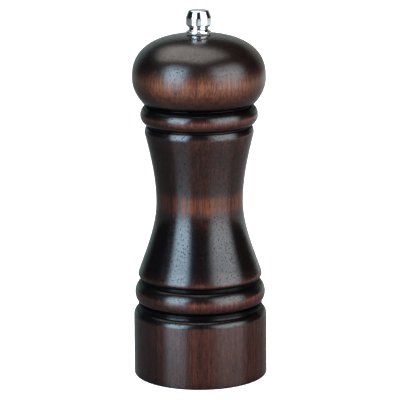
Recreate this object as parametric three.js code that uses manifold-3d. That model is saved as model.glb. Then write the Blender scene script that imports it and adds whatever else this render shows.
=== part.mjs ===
// A turned wooden pepper mill, 152.8 mm (about 6 in) tall, in millimetres with +Z up.
// The origin is the centre of the foot, on the table. Turning the head turns a square shaft and the
// rotor under it; the knob on top draws the shaft up against a spring and sets how fine the mill grinds.
import * as THREE from "three";
import { mergeVertices } from "three/addons/utils/BufferGeometryUtils.js";
import Module from "manifold-3d";

const wasm = await Module();
wasm.setup();

// ---- Driving dimensions ----
const HEIGHT = 152.8;
const GAP = 0.3; // clearance kept between pieces that touch
const OVERRUN = 1; // how far a cutter runs past the face it cuts
const ROUND_STEPS = 40; // facets round the big turned pieces
const SMALL_STEPS = 20; // facets round small hardware

// Turned body, from the foot up.
const BASE_R = 27.7;
const FOOT_EDGE_R = 0.7;
const SHOULDER_Z = 25.4; // top of the straight base
const SHOULDER_R = 3.6;
const LOW_GROOVE = { z: 29.9, floorR: 25.4 };
const LOW_BEAD = { bottom: 30.6, top: 39.7, foot: 25.1, crown: 27.1 };
const SKIRT_GROOVE = { z: 40.5, floorR: 24.6 };
const SKIRT_LIP = { z: 42.9, r: 25.7, round: 1.6 };
const SKIRT_PULL = { r: 22.45, z: 52.8, waistZ: 63.1 }; // handles of the curve from lip to waist
const WAIST = { z: 73.2, r: 18 };
const NECK_PULL = { waistZ: 83.5, r: 20.05, z: 91.9 }; // handles of the curve from waist to lip
const TOP_LIP = { z: 102.3, r: 22.55, round: 6 }; // gently rounded, up to the groove over it
const TOP_GROOVE = { z: 105.35, floorR: 21.2, half: 0.2 };
const TOP_BEAD = { bottom: 105.7, top: 114, foot: 21.6, crown: 24.25 };
const SEAM_Z = 114.2; // top face of the body

// Fine raised line round the floor of each groove.
const LINE_RISE = 0.35;
const LINE_HALF = 0.2;
const GROOVE_HALF = 0.55;

// Hollows of the body.
const RECESS_R = 22.6;
const RECESS_Z = 6.6; // depth of the recess under the foot
const POCKET_R = 17.2;
const POCKET_TOP_Z = 30.5;
const CHAMBER_R = 13.5;

// Head.
const HEAD_R = 27.48;
const HEAD_WIDEST_Z = 125;
const HEAD_TOP_Z = 143.2;
const HEAD_TOP_POWER = 2.45; // squareness of the dome's curve
const HEAD_FOOT_R = 21.2;
const HEAD_FOOT_DEPTH = 19.2; // reach of the lower curve, past the foot
const HEAD_FOOT_POWER = 1.95;
const TENON_LENGTH = 9;
const TENON_R = CHAMBER_R - GAP;
const HEAD_HOLE_R = 4;
const KNOB_SEAT_R = 4.6;
const KNOB_SEAT_Z = 142;

// Knob.
const KNOB_BOTTOM_Z = 143.45;
const KNOB_HEADROOM = 1.3; // room over the shaft's end for the finest setting

// Shaft.
const SHAFT_SIDE = 5;
const THREAD_R = 2.4;
const TAPPED_R = 2.75;
const SHAFT_TOP_Z = 148.2;
const UPPER_THREAD_Z = 133;
const SHAFT_BOTTOM_Z = 1.6;
const LOWER_THREAD_Z = 6.5; // top of the lower thread
const SQUARE_HOLE = SHAFT_SIDE + 2 * GAP;
const ROUND_HOLE_R = 3.95; // lets the square shaft turn
const THREAD_HOLE_R = THREAD_R + GAP;

// Grinding pieces.
const TEETH = 12;
const TWIST_PER_MM = 0.045; // radians the teeth lean per millimetre of height
const ROTOR = { bottom: 6.3, top: 18, bottomR: 12, topR: 6.7, depth: 1.5, hubR: 5.4, hubTop: 19.5 };
const BURR_GAP = 0.6; // between the rotor's and the stator's tooth tips
const STATOR = { bottom: 4.8, throat: 12.6, top: 17.9, mouthR: 13.3, depth: 1.4 };
const STATOR_FLANGE = { r: 22.2, top: 6.3 };
const ROTOR_WASHER = { r: 5.2, thick: 1 };
const ROTOR_NUT = { across: 8, height: 2.7 };

// Bridge, spring and their fasteners.
const BRIDGE = { thick: 1.2, width: 9, halfSpan: 16.3, footReach: 21.9, top: 30.2, bend: 2.2 };
const SPRING = { wire: 0.9, meanR: 4.5, bottom: 19.8, top: 27.9, coils: 5, closedShare: 0.25 };
const SPRING_WASHER_R = 6;
const WASHER_THICK = 0.8;
const BASE_SCREW_AT = 20.1; // distance of the four base screws from the axis
const BASE_SCREW_TIP_Z = 16;
const TURN_PLATE = { r: 12.4, thick: 1.2, screwAt: 8.7 };
const SCREW = { shankR: 1.1, headR: 2.1, headH: 1.2, point: 2, slot: 0.42, slotDepth: 0.7 };
const PILOT_R = SCREW.shankR + GAP;

// ---- Helpers ----
const v2 = (r, z) => new THREE.Vector2(r, z);

function arc(centreR, centreZ, radius, fromDeg, toDeg, steps) {
  return Array.from({ length: steps + 1 }, (_, i) => {
    const angle = THREE.MathUtils.degToRad(fromDeg + ((toDeg - fromDeg) * i) / steps);
    return v2(centreR + radius * Math.cos(angle), centreZ + radius * Math.sin(angle));
  });
}

// Half-round bead from its foot at the bottom, over its crown, to its foot at the top.
function bead({ bottom, top, foot, crown }, steps) {
  const half = (top - bottom) / 2;
  const rise = crown - foot;
  const radius = (half * half + rise * rise) / (2 * rise);
  const reach = THREE.MathUtils.radToDeg(Math.asin(half / radius));
  return arc(crown - radius, (bottom + top) / 2, radius, -reach, reach, steps);
}

// Groove with a fine raised line round its floor.
function linedGroove({ z, floorR }) {
  return [
    v2(floorR, z - GROOVE_HALF),
    v2(floorR + LINE_RISE, z - LINE_HALF),
    v2(floorR + LINE_RISE, z + LINE_HALF),
    v2(floorR, z + GROOVE_HALF),
  ];
}

// Part of a superellipse: from the head's widest point towards the axis, ending at radius endR.
function swell(reach, power, endR, steps) {
  const end = Math.acos(Math.pow(endR / HEAD_R, power / 2));
  return Array.from({ length: steps + 1 }, (_, i) => {
    const t = (end * i) / steps;
    const r = HEAD_R * Math.pow(Math.cos(t), 2 / power);
    return v2(r, HEAD_WIDEST_Z + reach * Math.pow(Math.sin(t), 2 / power));
  });
}

function curve(p0, p1, p2, p3, steps) {
  return new THREE.CubicBezierCurve(v2(...p0), v2(...p1), v2(...p2), v2(...p3)).getPoints(steps);
}

// Turns an outline of (radius, height) points round the Z axis.
function turned(outline, steps) {
  return new THREE.LatheGeometry(outline, steps).rotateX(Math.PI / 2);
}

function washer(innerR, outerR, bottom, thick) {
  const top = bottom + thick;
  const section = [v2(innerR, bottom), v2(outerR, bottom), v2(outerR, top), v2(innerR, top)];
  return turned([...section, section[0]], SMALL_STEPS);
}

function cylinder(radius, bottom, top, steps = SMALL_STEPS) {
  return new THREE.CylinderGeometry(radius, radius, top - bottom, steps)
    .rotateX(Math.PI / 2)
    .translate(0, 0, (bottom + top) / 2);
}

function block(sizeX, sizeY, bottom, top) {
  return new THREE.BoxGeometry(sizeX, sizeY, top - bottom).translate(0, 0, (bottom + top) / 2);
}

function toSolid(geometry) {
  const bare = geometry.clone();
  bare.deleteAttribute("normal");
  bare.deleteAttribute("uv");
  const merged = mergeVertices(bare, 1e-4);
  return new wasm.Manifold(
    new wasm.Mesh({
      numProp: 3,
      vertProperties: merged.attributes.position.array,
      triVerts: new Uint32Array(merged.index.array),
    }),
  );
}

function toGeometry(solid) {
  const mesh = solid.getMesh();
  const geometry = new THREE.BufferGeometry();
  geometry.setAttribute("position", new THREE.BufferAttribute(mesh.vertProperties, 3));
  geometry.setIndex(new THREE.BufferAttribute(mesh.triVerts, 1));
  geometry.computeVertexNormals();
  return geometry;
}

function cut(geometry, ...cutters) {
  return toGeometry(cutters.reduce((solid, cutter) => solid.subtract(toSolid(cutter)), toSolid(geometry)));
}

function join(geometry, ...others) {
  return toGeometry(others.reduce((solid, other) => solid.add(toSolid(other)), toSolid(geometry)));
}

function material(color, roughness, metalness) {
  return new THREE.MeshStandardMaterial({ color, roughness, metalness });
}

const walnut = material(0x4a2a22, 0.3, 0);
const chrome = material(0xe8ecee, 0.08, 1);
const steel = material(0x9a9c9e, 0.4, 1);
const burrSteel = material(0x5c5d60, 0.55, 1);
const aluminium = material(0xc4c6c8, 0.35, 1);
const nylon = material(0xe4e0d4, 0.5, 0);

// ---- Body: one turned piece of wood, bored through ----
function millBody() {
  const waist = [WAIST.r, WAIST.z];
  const skirt = curve(
    [SKIRT_LIP.r - 0.05, SKIRT_LIP.z + 0.6],
    [SKIRT_PULL.r, SKIRT_PULL.z],
    [WAIST.r, SKIRT_PULL.waistZ],
    waist,
    7,
  );
  const neck = curve(
    waist,
    [WAIST.r, NECK_PULL.waistZ],
    [NECK_PULL.r, NECK_PULL.z],
    [TOP_LIP.r - 0.3, TOP_LIP.z - 1],
    6,
  );
  const outside = [
    v2(RECESS_R, 0),
    ...arc(BASE_R - FOOT_EDGE_R, FOOT_EDGE_R, FOOT_EDGE_R, -90, 0, 3),
    ...arc(BASE_R - SHOULDER_R, SHOULDER_Z, SHOULDER_R, 0, 65, 4),
    ...linedGroove(LOW_GROOVE),
    ...bead(LOW_BEAD, 6),
    ...linedGroove(SKIRT_GROOVE),
    ...arc(SKIRT_LIP.r - SKIRT_LIP.round, SKIRT_LIP.z, SKIRT_LIP.round, -70, 0, 3),
    ...skirt,
    ...neck.slice(1),
    ...arc(TOP_LIP.r - TOP_LIP.round, TOP_LIP.z, TOP_LIP.round, 0, 26, 4),
    v2(TOP_GROOVE.floorR, TOP_GROOVE.z - TOP_GROOVE.half),
    v2(TOP_GROOVE.floorR, TOP_GROOVE.z + TOP_GROOVE.half),
    ...bead(TOP_BEAD, 6),
    v2(TOP_BEAD.foot, SEAM_Z),
  ];
  const inside = [
    v2(CHAMBER_R, SEAM_Z),
    v2(CHAMBER_R, POCKET_TOP_Z),
    v2(POCKET_R, POCKET_TOP_Z),
    v2(POCKET_R, RECESS_Z),
    v2(RECESS_R, RECESS_Z),
    v2(RECESS_R, 0),
  ];
  const pilots = baseScrews().map(({ x, y }) =>
    cylinder(PILOT_R, RECESS_Z - OVERRUN, BASE_SCREW_TIP_Z + 1.6, 10).translate(x, y, 0),
  );
  return cut(turned([...outside, ...inside], ROUND_STEPS), ...pilots);
}

// ---- Head: turned bulb with a tenon that drops into the body ----
function millHead() {
  const foot = SEAM_Z + GAP;
  const tenonEnd = foot - TENON_LENGTH;
  const lower = swell(-HEAD_FOOT_DEPTH, HEAD_FOOT_POWER, HEAD_FOOT_R, 7).reverse();
  const dome = swell(HEAD_TOP_Z - HEAD_WIDEST_Z, HEAD_TOP_POWER, KNOB_SEAT_R, 11);
  const outline = [
    v2(HEAD_HOLE_R, tenonEnd),
    v2(TENON_R, tenonEnd),
    v2(TENON_R, foot),
    v2(HEAD_FOOT_R, foot),
    ...lower.filter((point) => point.y > foot + 0.1),
    ...dome.slice(1),
    v2(KNOB_SEAT_R, KNOB_SEAT_Z),
    v2(HEAD_HOLE_R, KNOB_SEAT_Z),
    v2(HEAD_HOLE_R, tenonEnd),
  ];
  const pilots = turnPlateScrews().map(({ x, y }) =>
    cylinder(PILOT_R, tenonEnd - OVERRUN, foot - 0.6, 10).translate(x, y, 0),
  );
  return cut(turned(outline, ROUND_STEPS), ...pilots);
}

// ---- Knob: chromed finial with a flange, a waist and a barrel, tapped from below ----
function millKnob() {
  const outline = [
    v2(TAPPED_R, KNOB_BOTTOM_Z),
    v2(5.05, KNOB_BOTTOM_Z),
    v2(5.2, KNOB_BOTTOM_Z + 0.15),
    v2(5.2, KNOB_BOTTOM_Z + 0.6),
    v2(4.4, KNOB_BOTTOM_Z + 1),
    v2(3.9, KNOB_BOTTOM_Z + 1.7),
    v2(4.05, KNOB_BOTTOM_Z + 2.3),
    v2(4.8, KNOB_BOTTOM_Z + 2.9),
    v2(5.2, KNOB_BOTTOM_Z + 3.5),
    v2(5.2, HEIGHT - 3.1),
    v2(5.1, HEIGHT - 2.8),
    v2(4.25, HEIGHT - 0.35),
    v2(3.9, HEIGHT - 0.1),
    v2(0, HEIGHT),
    v2(0, SHAFT_TOP_Z + KNOB_HEADROOM),
    v2(TAPPED_R, SHAFT_TOP_Z + KNOB_HEADROOM),
    v2(TAPPED_R, KNOB_BOTTOM_Z),
  ];
  return turned(outline, 28);
}

// ---- Shaft: square rod with a thread turned on each end ----
function driveShaft() {
  return join(
    block(SHAFT_SIDE, SHAFT_SIDE, LOWER_THREAD_Z, UPPER_THREAD_Z),
    cylinder(THREAD_R, SHAFT_BOTTOM_Z, LOWER_THREAD_Z + 0.5, 16),
    cylinder(THREAD_R, UPPER_THREAD_Z - 0.5, SHAFT_TOP_Z, 16),
  );
}

// Star-shaped prism with saw teeth, tapered and twisted as it rises.
function toothedCone(bottom, top, bottomR, topR, depth, steps) {
  const pitch = (2 * Math.PI) / TEETH;
  const corners = Array.from({ length: TEETH }, (_, i) =>
    [
      [bottomR, 0],
      [bottomR, 0.2],
      [bottomR - depth * 0.45, 0.55],
      [bottomR - depth, 0.92],
    ].map(([r, share]) => v2(r, 0).rotateAround(v2(0, 0), pitch * (i + share))),
  );
  const star = new THREE.Shape(corners.flat());
  const height = top - bottom;
  const geometry = new THREE.ExtrudeGeometry(star, { depth: height, steps, bevelEnabled: false });
  const place = geometry.attributes.position;
  for (let i = 0; i < place.count; i++) {
    const share = place.getZ(i) / height;
    const point = v2(place.getX(i), place.getY(i)).rotateAround(v2(0, 0), TWIST_PER_MM * place.getZ(i));
    point.multiplyScalar(1 + (topR / bottomR - 1) * share);
    place.setXYZ(i, point.x, point.y, place.getZ(i) + bottom);
  }
  return geometry;
}

function rotor() {
  const teeth = toothedCone(ROTOR.bottom, ROTOR.top, ROTOR.bottomR, ROTOR.topR, ROTOR.depth, 6);
  const hub = cylinder(ROTOR.hubR, ROTOR.top - OVERRUN, ROTOR.hubTop);
  const bore = block(SQUARE_HOLE, SQUARE_HOLE, ROTOR.bottom - OVERRUN, ROTOR.hubTop + OVERRUN);
  return cut(join(teeth, hub), bore);
}

// Radius of the stator's tooth tips at height z, which follow the rotor's cone.
function statorTipR(z) {
  const slope = (ROTOR.bottomR - ROTOR.topR) / (ROTOR.top - ROTOR.bottom);
  return ROTOR.bottomR - (z - ROTOR.bottom) * slope + BURR_GAP;
}

function stator() {
  const barrelR = POCKET_R - GAP;
  const blank = turned(
    [
      v2(0, STATOR.bottom),
      v2(STATOR_FLANGE.r, STATOR.bottom),
      v2(STATOR_FLANGE.r, STATOR_FLANGE.top),
      v2(barrelR, STATOR_FLANGE.top),
      v2(barrelR, STATOR.top),
      v2(0, STATOR.top),
    ],
    ROUND_STEPS,
  );
  const teeth = toothedCone(
    STATOR.bottom - 0.01,
    STATOR.throat,
    statorTipR(STATOR.bottom) + STATOR.depth,
    statorTipR(STATOR.throat) + STATOR.depth,
    STATOR.depth,
    4,
  );
  const funnel = turned(
    [
      v2(0, STATOR.throat - 0.5),
      v2(statorTipR(STATOR.throat), STATOR.throat - 0.5),
      v2(STATOR.mouthR, STATOR.top + 0.1),
      v2(0, STATOR.top + 0.1),
    ],
    ROUND_STEPS,
  );
  const notchAt = BRIDGE.halfSpan - BRIDGE.thick - GAP;
  const notch = block(10, BRIDGE.width + 2 * GAP, STATOR.bottom - OVERRUN, STATOR.top + OVERRUN);
  const notches = [1, -1].map((side) => notch.clone().translate(side * (notchAt + 5), 0, 0));
  const holes = statorScrews().map(({ x, y }) =>
    cylinder(PILOT_R, STATOR.bottom - OVERRUN, STATOR_FLANGE.top + OVERRUN, 12).translate(x, y, 0),
  );
  return cut(blank, teeth, funnel, ...notches, ...holes);
}

// ---- Bridge: bent strap over the stator that the shaft turns in ----
function bridge() {
  const { thick, width, halfSpan, footReach, top, bend } = BRIDGE;
  const footTop = RECESS_Z - GAP;
  const footBottom = footTop - thick;
  const outer = [
    v2(footReach, footTop),
    v2(halfSpan, footTop),
    v2(halfSpan, top - bend),
    v2(halfSpan - bend * 0.3, top - bend * 0.3),
    v2(halfSpan - bend, top),
  ];
  const inner = [
    v2(halfSpan - bend, top - thick),
    v2(halfSpan - thick - bend * 0.15, top - thick - bend * 0.15),
    v2(halfSpan - thick, top - bend),
    v2(halfSpan - thick, footBottom),
    v2(footReach, footBottom),
  ];
  const mirror = (points) => points.map((point) => v2(-point.x, point.y)).reverse();
  const outline = [...outer, ...mirror(outer), ...mirror(inner), ...inner];
  const strap = new THREE.ExtrudeGeometry(new THREE.Shape(outline), { depth: width, bevelEnabled: false })
    .rotateX(Math.PI / 2)
    .translate(0, width / 2, 0);
  const shaftHole = cylinder(ROUND_HOLE_R, top - thick - OVERRUN, top + OVERRUN);
  const holes = bridgeScrews().map(({ x, y }) =>
    cylinder(PILOT_R, footBottom - OVERRUN, footTop + OVERRUN, 12).translate(x, y, 0),
  );
  return cut(strap, shaftHole, ...holes);
}

// ---- Spring: compression coil round the shaft, wound closer at its lower end ----
class Coil extends THREE.Curve {
  getPoint(t, target = new THREE.Vector3()) {
    const angle = t * SPRING.coils * 2 * Math.PI;
    const rise = THREE.MathUtils.lerp(t, t * t, SPRING.closedShare);
    const z = SPRING.bottom + SPRING.wire / 2 + rise * (SPRING.top - SPRING.bottom - SPRING.wire);
    return target.set(SPRING.meanR * Math.cos(angle), SPRING.meanR * Math.sin(angle), z);
  }
}

function spring() {
  const section = new THREE.Shape(around(6, SPRING.wire / 2, 0));
  return new THREE.ExtrudeGeometry(section, { steps: SPRING.coils * 16, extrudePath: new Coil() });
}

// ---- Screws: domed cross-head, driven from below ----
function screw(headBottom, tip) {
  const headTop = headBottom + SCREW.headH;
  const body = turned(
    [
      v2(0, headBottom),
      v2(SCREW.headR * 0.55, headBottom + 0.08),
      v2(SCREW.headR * 0.9, headBottom + 0.45),
      v2(SCREW.headR, headTop - 0.1),
      v2(SCREW.headR, headTop),
      v2(SCREW.shankR, headTop),
      v2(SCREW.shankR, tip - SCREW.point),
      v2(0, tip),
    ],
    12,
  );
  const slot = block(SCREW.headR * 1.15, SCREW.slot, headBottom - OVERRUN, headBottom + SCREW.slotDepth);
  return cut(body, slot, slot.clone().rotateZ(Math.PI / 2));
}

function around(count, radius, startAngle) {
  return Array.from({ length: count }, (_, i) =>
    v2(radius, 0).rotateAround(v2(0, 0), startAngle + (i * 2 * Math.PI) / count),
  );
}

const bridgeScrews = () => around(2, BASE_SCREW_AT, 0);
const statorScrews = () => around(2, BASE_SCREW_AT, Math.PI / 2);
const baseScrews = () => [...bridgeScrews(), ...statorScrews()];
const turnPlateScrews = () => around(3, TURN_PLATE.screwAt, Math.PI / 6);

function turnPlate(bottom) {
  const top = bottom + TURN_PLATE.thick;
  const square = block(SQUARE_HOLE, SQUARE_HOLE, bottom - OVERRUN, top + OVERRUN);
  const holes = turnPlateScrews().map(({ x, y }) =>
    cylinder(PILOT_R, bottom - OVERRUN, top + OVERRUN, 12).translate(x, y, 0),
  );
  return cut(cylinder(TURN_PLATE.r, bottom, top, ROUND_STEPS), square, ...holes);
}

function rotorNut(top) {
  const bottom = top - ROTOR_NUT.height;
  const hexagon = cylinder(ROTOR_NUT.across / Math.sqrt(3), bottom, top, 6);
  return cut(hexagon, cylinder(THREAD_HOLE_R, bottom - OVERRUN, top + OVERRUN, 16));
}

// ---- Assembly ----
const mill = new THREE.Group();

function add(name, geometry, finish, at = v2(0, 0)) {
  const mesh = new THREE.Mesh(geometry, finish);
  mesh.name = name;
  mesh.position.set(at.x, at.y, 0);
  mill.add(mesh);
}

// One screw at each place, its head a gap below the plate it holds.
function addScrews(name, places, plateBottom, tip) {
  const headBottom = plateBottom - GAP - SCREW.headH;
  places.forEach((at, i) => add(name + "_" + (i + 1), screw(headBottom, tip), steel, at));
}

add("mill_body", millBody(), walnut);
add("stator", stator(), burrSteel);
addScrews("stator_screw", statorScrews(), STATOR.bottom, BASE_SCREW_TIP_Z);
add("bridge", bridge(), steel);
addScrews("bridge_screw", bridgeScrews(), RECESS_Z - GAP - BRIDGE.thick, BASE_SCREW_TIP_Z);

const springWasherZ = SPRING.top + GAP;
add("spring", spring(), steel);
add("spring_washer", washer(ROUND_HOLE_R, SPRING_WASHER_R, springWasherZ, WASHER_THICK), nylon);

const rotorWasherZ = ROTOR.bottom - GAP - ROTOR_WASHER.thick;
add("drive_shaft", driveShaft(), aluminium);
add("rotor", rotor(), burrSteel);
add("rotor_washer", washer(THREAD_HOLE_R, ROTOR_WASHER.r, rotorWasherZ, ROTOR_WASHER.thick), steel);
add("rotor_nut", rotorNut(rotorWasherZ - GAP), steel);

const turnPlateZ = SEAM_Z - TENON_LENGTH - TURN_PLATE.thick;
add("mill_head", millHead(), walnut);
add("turn_plate", turnPlate(turnPlateZ), steel);
addScrews("turn_plate_screw", turnPlateScrews(), turnPlateZ, SEAM_Z - 1);

const knobWasherZ = KNOB_SEAT_Z + GAP;
add("knob_washer", washer(THREAD_HOLE_R, KNOB_SEAT_R - GAP, knobWasherZ, WASHER_THICK), nylon);
add("knob", millKnob(), chrome);

export default mill;
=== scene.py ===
"""Visual model of the turned pepper mill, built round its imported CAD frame. Sizes in millimetres until a
mesh is made, then metres, +Z up, with the foot's centre on the floor at the origin."""
import math
import bmesh
import bpy
from mathutils import Matrix, Vector


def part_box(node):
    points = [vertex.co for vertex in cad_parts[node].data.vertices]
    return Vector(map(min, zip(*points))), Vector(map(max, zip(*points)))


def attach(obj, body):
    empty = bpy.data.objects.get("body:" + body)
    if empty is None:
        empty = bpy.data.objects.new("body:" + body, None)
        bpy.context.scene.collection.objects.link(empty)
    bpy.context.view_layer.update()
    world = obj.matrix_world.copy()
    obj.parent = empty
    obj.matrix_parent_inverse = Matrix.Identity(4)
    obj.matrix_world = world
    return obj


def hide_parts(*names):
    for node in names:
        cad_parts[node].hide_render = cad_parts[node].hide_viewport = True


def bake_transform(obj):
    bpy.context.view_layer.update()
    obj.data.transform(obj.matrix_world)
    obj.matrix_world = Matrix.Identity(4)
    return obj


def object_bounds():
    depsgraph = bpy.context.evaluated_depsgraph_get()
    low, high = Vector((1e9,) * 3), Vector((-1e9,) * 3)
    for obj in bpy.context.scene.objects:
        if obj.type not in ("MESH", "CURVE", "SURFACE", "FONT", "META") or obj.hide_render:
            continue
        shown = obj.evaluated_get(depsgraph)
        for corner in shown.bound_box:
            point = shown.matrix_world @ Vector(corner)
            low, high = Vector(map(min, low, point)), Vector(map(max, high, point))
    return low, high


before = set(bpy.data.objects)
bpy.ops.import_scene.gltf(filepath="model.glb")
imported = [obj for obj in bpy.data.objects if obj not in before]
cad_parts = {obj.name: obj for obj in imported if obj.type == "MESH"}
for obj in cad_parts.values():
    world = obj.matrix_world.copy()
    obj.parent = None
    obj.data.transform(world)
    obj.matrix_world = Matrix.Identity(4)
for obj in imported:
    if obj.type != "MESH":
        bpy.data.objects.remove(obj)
CAD_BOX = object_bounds()
MM = 0.001


def span(node, axis=2):
    """Lowest and highest coordinate of a CAD node along an axis, in millimetres."""
    low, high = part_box(node)
    return low[axis] / MM, high[axis] / MM


HEIGHT = CAD_BOX[1].z / MM
BODY_TOP = span("mill_body")[1]
HEAD_FOOT, HEAD_TOP = span("mill_head")
KNOB_BOTTOM = span("knob")[0]

# ---------------------------------------------------------------- camera
CAMERA_AT = (0.00015, -0.92, 0.2778)  # in metres
CAMERA_PITCH = math.radians(12.51)  # downwards
CAMERA_ROLL = math.radians(-0.33)
LENS = 205
SENSOR = 36


def make_camera():
    data = bpy.data.cameras.new("camera")
    data.lens = LENS
    data.sensor_width = SENSOR
    data.clip_start = 0.05
    data.clip_end = 20
    camera = bpy.data.objects.new("camera", data)
    bpy.context.scene.collection.objects.link(camera)
    turn = Matrix.Rotation(math.pi / 2 - CAMERA_PITCH, 4, "X") @ Matrix.Rotation(CAMERA_ROLL, 4, "Z")
    camera.matrix_world = Matrix.Translation(CAMERA_AT) @ turn
    bpy.context.scene.camera = camera


# ---------------------------------------------------------------- node graphs
class Graph:
    """A short way to write a node tree."""

    def __init__(self, tree):
        self.tree = tree
        tree.nodes.clear()

    def node(self, kind, settings=None, **inputs):
        made = self.tree.nodes.new(kind)
        for key, value in (settings or {}).items():
            setattr(made, key, value)
        for key, value in inputs.items():
            self.put(made.inputs[key.replace("_", " ")], value)
        return made

    def put(self, socket, value):
        if isinstance(value, bpy.types.NodeSocket):
            self.tree.links.new(value, socket)
        else:
            socket.default_value = value

    def math(self, operation, a, b=0.0):
        made = self.node("ShaderNodeMath", {"operation": operation})
        self.put(made.inputs[0], a)
        self.put(made.inputs[1], b)
        return made.outputs[0]

    def weighted(self, *terms):
        """Sum of (value, weight) pairs."""
        total = None
        for value, weight in terms:
            term = self.math("MULTIPLY", value, weight)
            total = term if total is None else self.math("ADD", total, term)
        return total

    def split(self, vector):
        return self.node("ShaderNodeSeparateXYZ", Vector=vector).outputs

    def scaled(self, vector, scale):
        made = self.node("ShaderNodeVectorMath", {"operation": "MULTIPLY"})
        self.put(made.inputs[0], vector)
        self.put(made.inputs[1], scale)
        return made.outputs[0]

    def range(self, value, low, high, to_low=0.0, to_high=1.0, smooth=False):
        made = self.node(
            "ShaderNodeMapRange",
            {"interpolation_type": "SMOOTHSTEP" if smooth else "LINEAR"},
            From_Min=low, From_Max=high, To_Min=to_low, To_Max=to_high,
        )
        self.put(made.inputs["Value"], value)
        return made.outputs["Result"]

    def noise(self, vector, scale, detail=3.0, roughness=0.55):
        return self.node(
            "ShaderNodeTexNoise", Vector=vector, Scale=scale, Detail=detail, Roughness=roughness,
        ).outputs["Fac"]

    def mix(self, factor, a, b):
        """Mix of two colours. The node's colour sockets come after its number and vector sockets."""
        made = self.node("ShaderNodeMix", {"data_type": "RGBA"})
        self.put(made.inputs[0], factor)
        self.put(made.inputs[6], a)
        self.put(made.inputs[7], b)
        return made.outputs[2]

    def mix_shader(self, factor, a, b):
        made = self.node("ShaderNodeMixShader", Fac=factor)
        self.put(made.inputs[1], a.outputs[0])
        self.put(made.inputs[2], b.outputs[0])
        return made

    def ramp(self, value, stops, interpolation="LINEAR"):
        made = self.node("ShaderNodeValToRGB")
        self.put(made.inputs[0], value)
        band = made.color_ramp
        band.interpolation = interpolation
        while len(band.elements) < len(stops):
            band.elements.new(0.5)
        for element, (position, colour) in zip(band.elements, stops):
            element.position = position
            element.color = (*colour, 1)
        return made.outputs[0]


def new_material(name):
    made = bpy.data.materials.new(name)
    made.use_nodes = True
    return made, Graph(made.node_tree)


def millimetres(g):
    """The surface point in the part's own frame, in millimetres."""
    return g.scaled(g.node("ShaderNodeTexCoord").outputs["Object"], (1000, 1000, 1000))


def finish_shader(g, shader, normal):
    g.put(shader.inputs["Normal"], normal)
    g.node("ShaderNodeOutputMaterial", Surface=shader.outputs[0])


def bumped(g, height, strength, distance_mm):
    return g.node(
        "ShaderNodeBump", Height=height, Strength=strength, Distance=distance_mm * MM
    ).outputs[0]


# ---------------------------------------------------------------- wood
PITH = (41, 66)  # where the tree's heart lies beside the blank
RING_WIDTH = 2.6
GRAIN_SWAY = 5  # how far the grain wanders sideways


def grain(g, place):
    """Wood with its grain along Z: a tone from 0, darkest, to 1, lightest, made of streaks, short ray
    flecks, faint growth rings and blotches; then the streaks, flecks and pores by themselves."""
    sway = g.node("ShaderNodeTexNoise", Vector=g.scaled(place, (1, 1, 0.3)), Scale=0.03, Detail=2.0)
    shifted = g.node("ShaderNodeVectorMath", {"operation": "MULTIPLY_ADD"})
    g.put(shifted.inputs[0], sway.outputs["Color"])
    g.put(shifted.inputs[1], (GRAIN_SWAY, GRAIN_SWAY, 0))
    g.put(shifted.inputs[2], place)
    point = shifted.outputs[0]
    x, y, _ = g.split(point)
    across = g.math("SUBTRACT", x, PITH[0])
    along = g.math("SUBTRACT", y, PITH[1])
    square = g.weighted((across, across), (along, along))
    ring = g.math("FRACT", g.math("DIVIDE", g.math("SQRT", square), RING_WIDTH))
    late = g.range(ring, 0.3, 1.0, smooth=True)
    streak = g.noise(g.scaled(point, (1, 1, 0.03)), 0.8, 4.0, 0.6)
    fleck = g.noise(g.scaled(point, (1, 1, 0.09)), 2.5, 2.5, 0.6)
    pore_field = g.noise(g.scaled(point, (1, 1, 0.16)), 4.4, 1.0, 0.5)
    pores = g.range(pore_field, 0.6, 0.68, smooth=True)
    blotch = g.noise(g.scaled(point, (1, 1, 0.5)), 0.09, 3.0, 0.55)
    tone = g.weighted((streak, 0.8), (fleck, 0.9), (late, -0.06), (blotch, 0.25))
    return g.range(tone, 0.6, 1.26), streak, fleck, pores


# Amber of the painted highlight that the front lights raise in the wood's fibres.
AMBER_HIGHLIGHT = (0.24, 0.055, 0.016, 1)
HIGHLIGHT_CORE, HIGHLIGHT_REACH = 1.5, 5.5  # how far from its middle it is still full, and where it ends
PORE_BLACK = (0.004, 0.002, 0.002, 1)
# Black of the sprayed toner, also used for the painted shade in the grooves, at the seam and at the sides.
TONER_AND_SHADE_BLACK = (0.0022, 0.0018, 0.002, 1)
RIGHT_PAINTED_SHADE_SPAN = (0.6, 0.88)  # X of the outward direction where the painted shade on the right starts and ends
GROOVE_TONER_AND_SHADE = (0.97, 1.0)  # where the lacquer thins out in the blackest grooves
GROOVE_LACQUER, PORE_LACQUER = 0.3, 0.1
LACQUER_IOR = 1.5


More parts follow.
